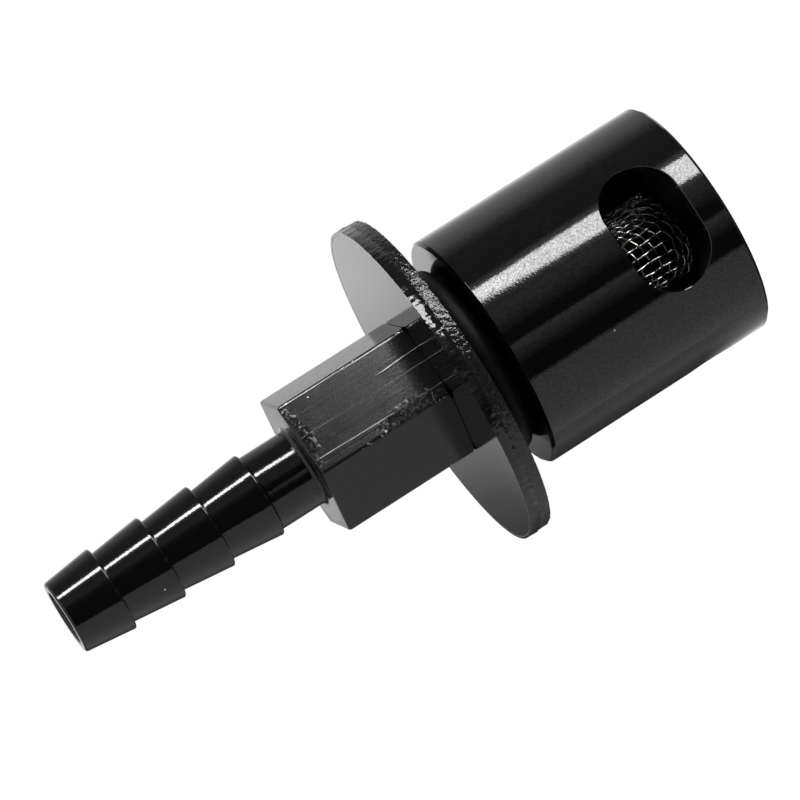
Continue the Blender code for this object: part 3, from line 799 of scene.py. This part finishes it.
def washer_anodise():
    """Mirror gloss on the faces and a coarse torn skin round the rim."""
    material, tree, shader = shader_tree("washer black anodise")
    place, east, north, radius, height = round_the_axis(tree)
    on_rim = ramp(tree, radius, WASHER_RADIUS - 0.35 * MM, WASHER_RADIUS - 0.25 * MM)
    on_torn = sum_of(tree, "MULTIPLY", on_rim, ramp(tree, height, -5.75 * MM, -5.60 * MM))
    tears = placed(tree, SPECKLE, Per_Metre=2600.0, Detail=2.0)
    dents = placed(tree, SPECKLE, Per_Metre=900.0, Detail=2.0)
    grain = placed(tree, SPECKLE, Per_Metre=2500.0)
    tree.links.new(blend(tree, on_torn, (0.0030, 0.0030, 0.0033), (0.006, 0.006, 0.006)), shader.inputs["Base Color"])
    tree.links.new(ramp(tree, on_rim, 0.0, 1.0, 0.12, 0.10), shader.inputs["Roughness"])
    on_sheared = sum_of(tree, "MULTIPLY", on_rim, sum_of(tree, "SUBTRACT", 1.0, on_torn))
    relief(tree, shader, (sum_of(tree, "MULTIPLY", tears, on_torn), 0.11 * MM),
           (sum_of(tree, "MULTIPLY", dents, on_sheared), 0.09 * MM),
           (sum_of(tree, "MULTIPLY", tears, on_sheared), 0.015 * MM), (grain, 0.003 * MM))
    return material


def rubber(name, color, roughness):
    """Black rubber with a soft uneven bloom."""
    material, tree, shader = shader_tree(name)
    shader.inputs["Specular IOR Level"].default_value = 0.12
    bloom = placed(tree, SPECKLE, Per_Metre=900.0)
    pale = tuple(value * 1.8 for value in color)
    tree.links.new(blend(tree, bloom, color, pale), shader.inputs["Base Color"])
    tree.links.new(ramp(tree, bloom, 0.3, 0.7, roughness - 0.06, roughness + 0.06), shader.inputs["Roughness"])
    relief(tree, shader, (placed(tree, SPECKLE, Per_Metre=4000.0), 0.002 * MM))
    return material


def metal(name, color, roughness, marks, depth, spread=0.3):
    """Bare metal whose colour, gloss and relief follow one of the shared effects."""
    material, tree, shader = shader_tree(name)
    shader.inputs["Metallic"].default_value = 1.0
    dull = tuple(value * (1.0 - spread) for value in color)
    tree.links.new(blend(tree, marks(tree), dull, color), shader.inputs["Base Color"])
    tree.links.new(ramp(tree, marks(tree), 0.3, 0.7, roughness * 1.3, roughness * 0.8), shader.inputs["Roughness"])
    relief(tree, shader, (marks(tree), depth))
    return material


def gauze_steel():
    """Bright stainless wire, with painted shade on the side that faces into the thimble and on the upper wires in line
    with each slot.
    """
    material, tree, shader = shader_tree("gauze steel")
    shader.inputs["Metallic"].default_value = 1.0
    place, east, north, radius, height = round_the_axis(tree)
    facing = add(tree, "ShaderNodeSeparateXYZ")
    tree.links.new(add(tree, "ShaderNodeTexCoord").outputs["Normal"], facing.inputs[0])
    outward_share = sum_of(tree, "ADD", sum_of(tree, "MULTIPLY", facing.outputs[0], east),
                           sum_of(tree, "MULTIPLY", facing.outputs[1], north))
    # Painted shade: the side of each wire that faces into the thimble gets a dark colour.
    unshaded = ramp(tree, outward_share, 0.0, 0.75)
    grain = placed(tree, SPECKLE, Per_Metre=1500.0)
    steel = blend(tree, grain, (0.46, 0.45, 0.43), (0.66, 0.65, 0.62))
    # Painted shade: the upper wires in line with each slot are darkened further, as if the head's walls shelter them.
    cubed = sum_of(tree, "MULTIPLY", north, sum_of(tree, "MULTIPLY", north, north))
    at_slot = sum_of(tree, "SUBTRACT", sum_of(tree, "MULTIPLY", cubed, 4.0), sum_of(tree, "MULTIPLY", north, 3.0))
    slot_shade = sum_of(tree, "MULTIPLY", ramp(tree, at_slot, 0.45, -0.55, 0.0, 0.75), ramp(tree, height, 20.0 * MM, 22.5 * MM))
    unshaded = sum_of(tree, "MULTIPLY", unshaded, sum_of(tree, "SUBTRACT", 1.0, slot_shade))
    tree.links.new(blend(tree, unshaded, (0.03, 0.03, 0.03), steel), shader.inputs["Base Color"])
    tree.links.new(ramp(tree, grain, 0.3, 0.7, 0.28, 0.18), shader.inputs["Roughness"])
    relief(tree, shader, (grain, 0.002 * MM))
    return material


def acetal():
    """Natural acetal, faintly mottled, with the cutter's rings."""
    material, tree, shader = shader_tree("cage acetal")
    cloud = placed(tree, SPECKLE, Per_Metre=300.0)
    tree.links.new(blend(tree, cloud, (0.70, 0.69, 0.64), (0.80, 0.79, 0.75)), shader.inputs["Base Color"])
    tree.links.new(ramp(tree, cloud, 0.3, 0.7, 0.42, 0.52), shader.inputs["Roughness"])
    relief(tree, shader, (placed(tree, TURNING_MARKS, Per_Metre=4000.0, Strokes_Round=3.0), 0.004 * MM))
    return material


# Floor, surround, lamps and camera

TOWARD_CAMERA = math.radians(-83.8)      # the camera's direction round the axis


def around(angle, radius, height):
    """A point at an angle from the camera's direction, towards +X, in degrees."""
    turn = TOWARD_CAMERA + math.radians(angle)
    return Vector((radius * math.cos(turn), radius * math.sin(turn), height))


def glow_sheet(name, rows):
    """A sheet that only gloss shows; each corner is an angle, radius, height and glow."""
    width = len(rows[0])
    mesh = bpy.data.meshes.new(name)
    corners = [around(*corner[:3]) for row in rows for corner in row]
    faces = [(r * width + i, r * width + i + 1, (r + 1) * width + i + 1, (r + 1) * width + i)
             for r in range(len(rows) - 1) for i in range(width - 1)]
    mesh.from_pydata(corners, [], faces)
    glow = mesh.attributes.new("glow", "FLOAT", "POINT")
    for value, corner in zip(glow.data, [corner for row in rows for corner in row]):
        value.value = corner[3]
    piece = bpy.data.objects.new(name, mesh)
    bpy.context.scene.collection.objects.link(piece)
    material, tree, shader = shader_tree(name)
    shader.inputs["Base Color"].default_value = (0, 0, 0, 1)
    shader.inputs["Specular IOR Level"].default_value = 0.0
    shader.inputs["Emission Color"].default_value = (1, 1, 1, 1)
    level = add(tree, "ShaderNodeAttribute", {"attribute_name": "glow"})
    tree.links.new(level.outputs["Fac"], shader.inputs["Emission Strength"])
    mesh.materials.append(material)
    piece.visible_camera = False
    piece.visible_diffuse = False
    piece.visible_shadow = False
    piece.visible_transmission = False
    piece.visible_volume_scatter = False


def lamp():
    """The soft lamp above the valve, narrow below and wider above, behind fine louvres."""
    edges = [(-200, -67.6, -60.6, 25.0), (-58, -62.8, -54.8, 25.0), (40, -54.4, -46.2, 23.0),
             (70, -51.4, -43.0, 20.0), (80, -51.0, -37.6, 17.0), (97, -52.4, -34.9, 15.5),
             (128, -52.6, -31.7, 15.5), (240, -52.6, -27.0, 15.5)]
    rows = []
    for lower, upper in zip(edges, edges[1:]):
        slats = max(1, round((upper[0] - lower[0]) / 7))
        for slat in range(slats):
            height, left, right, glow = [a + (b - a) * slat / slats for a, b in zip(lower, upper)]
            glow *= 1.6 if len(rows) % 2 else 0.4
            across = [(left - 7, 0.25), (left - 0.1, 1.2), (left, glow), (right, glow), (right + 0.1, 1.2), (right + 7, 0.25)]
            rows.append([(angle, 0.40, height * MM, level) for angle, level in across])
    glow_sheet("lamp", rows)


def dim_room():
    """The rest of the studio, from the left of the camera round to its right."""
    left_low = [(-162, 1.0), (-148, 0.60), (-132, 0.42), (-120, 0.40),
                (-112, 0.32), (-104, 0.25), (-96, 0.19), (-60, 0.19)]
    left_high = [(-162, 1.0), (-148, 0.66), (-132, 0.62), (-120, 0.62),
                 (-112, 0.54), (-104, 0.32), (-96, 0.16), (-60, 0.16)]
    right = [(80, 0.66), (130, 0.70), (150, 1.0)]
    beside_tail = [(-34, 0.26), (-28, 0.26), (-21, 0.09), (-10, 0.03),
                   (7, 0.03), (9, 0.03), (15, 0.03), (22, 0.03), (27, 0.03), (37, 0.03), (40, 0.62)]
    beside_neck = [(-34, 0.22), (-20, 0.30), (-14, 0.26), (-8, 0.03),
                   (7, 0.03), (9, 0.55), (15, 0.40), (20, 0.10), (27, 0.03), (40, 0.03), (43, 0.62)]
    beside_head = [(-34, 0.22), (-26, 0.40), (-17, 0.30), (-3, 0.04),
                   (7, 0.03), (8.3, 0.50), (15, 0.30), (22, 0.12), (27, 0.03), (42, 0.03), (45, 0.62)]
    heights = [(-0.45, left_low, beside_tail), (0.048, left_low, beside_tail),
               (0.055, left_high, beside_neck), (0.075, left_high, beside_neck),
               (0.10, left_high, beside_head), (0.6, left_high, beside_head)]
    glow_sheet("dim_room", [[(angle, 0.65, height, glow) for angle, glow in left + middle + right]
                            for height, left, middle in heights])


def dark_corner():
    """A shaded card close behind the valve, which the edges of its gloss show."""
    angles = [104, 120, 132, 140, 152, 164, 170, 176, 182, 190, 200]
    below = [0.62, 0.60, 0.40, 0.23, 0.09, 0.05, 0.60, 0.75, 0.75, 0.75, 0.75]
    middle = [0.62, 0.60, 0.40, 0.23, 0.09, 0.08, 0.15, 0.40, 0.66, 1.15, 1.30]
    above = [0.50, 0.38, 0.165, 0.11, 0.05, 0.03, 0.03, 0.10, 0.30, 0.70, 0.75]
    open_top = [0.62, 0.65, 0.68, 0.70, 0.90, 1.0, 1.0, 1.0, 1.0, 1.0, 1.0]
    heights = [(-0.20, below), (-0.033, below), (-0.027, middle), (-0.008, middle), (0.012, above),
               (0.043, above), (0.052, open_top), (0.062, open_top), (0.068, [0.05] * 11), (0.30, [0.05] * 11)]
    glow_sheet("dark_corner", [[(angle, 0.10, height, glow) for angle, glow in zip(angles, glows)]
                               for height, glows in heights])


def roof():
    """A dim ceiling, which the head's upper edge shows."""
    glow_sheet("roof", [[(angle, reach, 0.60, 0.12) for angle in range(-180, 181, 30)] for reach in (0.01, 0.75)])


def floor():
    bpy.ops.object.select_all(action="DESELECT")
    bpy.ops.mesh.primitive_circle_add(vertices=96, radius=0.45, fill_type="NGON", location=(0, 0, -0.155))
    piece = new_piece("floor")
    apply_place(piece)
    material, tree, shader = shader_tree("pale floor")
    shader.inputs["Base Color"].default_value = (0.8, 0.8, 0.8, 1)
    shader.inputs["Roughness"].default_value = 0.7
    piece.data.materials.append(material)


def world():
    made = bpy.data.worlds.new("studio")
    bpy.context.scene.world = made
    made.use_nodes = True
    tree = made.node_tree
    tree.nodes.clear()
    seen = add(tree, "ShaderNodeBackground", Color=(1, 1, 1, 1), Strength=1.0)
    fill = add(tree, "ShaderNodeBackground", Color=(1, 1, 1, 1), Strength=0.6)
    path = add(tree, "ShaderNodeLightPath")
    glossy = add(tree, "ShaderNodeMath", {"operation": "MAXIMUM"})
    shown = add(tree, "ShaderNodeMath", {"operation": "MAXIMUM"})
    mix = add(tree, "ShaderNodeMixShader")
    out = add(tree, "ShaderNodeOutputWorld")
    tree.links.new(path.outputs["Is Glossy Ray"], glossy.inputs[0])
    tree.links.new(path.outputs["Is Transmission Ray"], glossy.inputs[1])
    tree.links.new(path.outputs["Is Camera Ray"], shown.inputs[0])
    tree.links.new(glossy.outputs[0], shown.inputs[1])
    tree.links.new(shown.outputs[0], mix.inputs["Fac"])
    tree.links.new(fill.outputs[0], mix.inputs[1])
    tree.links.new(seen.outputs[0], mix.inputs[2])
    tree.links.new(mix.outputs[0], out.inputs["Surface"])


def key_lamp():
    data = bpy.data.lights.new("key_lamp", "AREA")
    data.shape = "RECTANGLE"
    data.size = 0.5
    data.size_y = 0.3
    data.energy = 2.0
    lamp = bpy.data.objects.new("key_lamp", data)
    bpy.context.scene.collection.objects.link(lamp)
    lamp.location = around(-50.0, 0.55, 0.35)
    lamp.rotation_euler = (-Vector(lamp.location)).to_track_quat("-Z", "Y").to_euler()
    lamp.visible_glossy = False
    lamp.visible_camera = False


def camera():
    """The photograph's camera: below the head, looking up, rolled to the right."""
    data = bpy.data.cameras.new("camera")
    data.lens = 190.061
    data.sensor_width = 36.0
    data.clip_start = 0.01
    data.clip_end = 10.0
    eye = bpy.data.objects.new("camera", data)
    bpy.context.scene.collection.objects.link(eye)
    position = Vector((0.049479, -0.45997, -0.088131))
    aim = Vector((-0.000484, -0.000057, -0.010542))
    away = (position - aim).normalized()
    roll = math.radians(57.5815)
    level = Vector((0, 0, 1)).cross(away).normalized()
    up = away.cross(level)
    right = level * math.cos(roll) + up * math.sin(roll)
    top = away.cross(right)
    eye.matrix_world = Matrix((
        (right.x, top.x, away.x, position.x),
        (right.y, top.y, away.y, position.y),
        (right.z, top.z, away.z, position.z),
        (0, 0, 0, 1)))
    bpy.context.scene.camera = eye


# Put the valve together

TURNING_MARKS = turning_marks()
MILLED_LINES = milled_lines()
SPECKLE = speckle()
DUST = dust()
BRUISE = bruise()
WORN_EDGE = worn_edge()

camera()
world()
floor()
key_lamp()
lamp()
dim_room()
dark_corner()
roof()

for build, node, slot, look in (
        (vent_head, "vent_head", "head_anodised", head_anodise()),
        (hose_tail, "hose_tail", "tail_anodised", tail_anodise()),
        (clamp_washer, "clamp_washer", "washer_black", washer_anodise()),
        (panel_seal, "panel_seal", "seal_rubber", rubber("seal rubber", (0.003, 0.003, 0.003), 0.55)),
        (gauze, "gauze_thimble", "gauze_steel", gauze_steel())):
    piece = build()
    piece.data.materials.clear()
    piece.data.materials.append(look)
    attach(piece, "housing")
    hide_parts(node)

inner_looks = {
    "gauze_rim": metal("folded rim steel", (0.55, 0.54, 0.52), 0.30,
                       lambda tree: placed(tree, TURNING_MARKS, Per_Metre=2500.0, Strokes_Round=2.0), 0.004 * MM),
    "valve_seat": metal("seat aluminium", (0.66, 0.66, 0.66), 0.28,
                        lambda tree: placed(tree, TURNING_MARKS, Per_Metre=6000.0, Strokes_Round=1.5), 0.004 * MM),
    "seat_pad": rubber("pad rubber", (0.010, 0.010, 0.010), 0.55),
    "seat_seal": rubber("seat seal rubber", (0.008, 0.008, 0.008), 0.42),
    "ball_cage": acetal(),
    "valve_ball": metal("ball steel", (0.62, 0.62, 0.62), 0.10,
                        lambda tree: placed(tree, SPECKLE, Per_Metre=900.0), 0.0008 * MM, 0.08),
    "cage_clip": metal("phosphated spring steel", (0.22, 0.22, 0.23), 0.42,
                       lambda tree: placed(tree, SPECKLE, Per_Metre=2200.0), 0.004 * MM, 0.5),
}
for name, look in inner_looks.items():
    node = frame["nodes"][name]
    node.data.materials.clear()
    node.data.materials.append(look)

bpy.context.scene.view_settings.view_transform = "Standard"
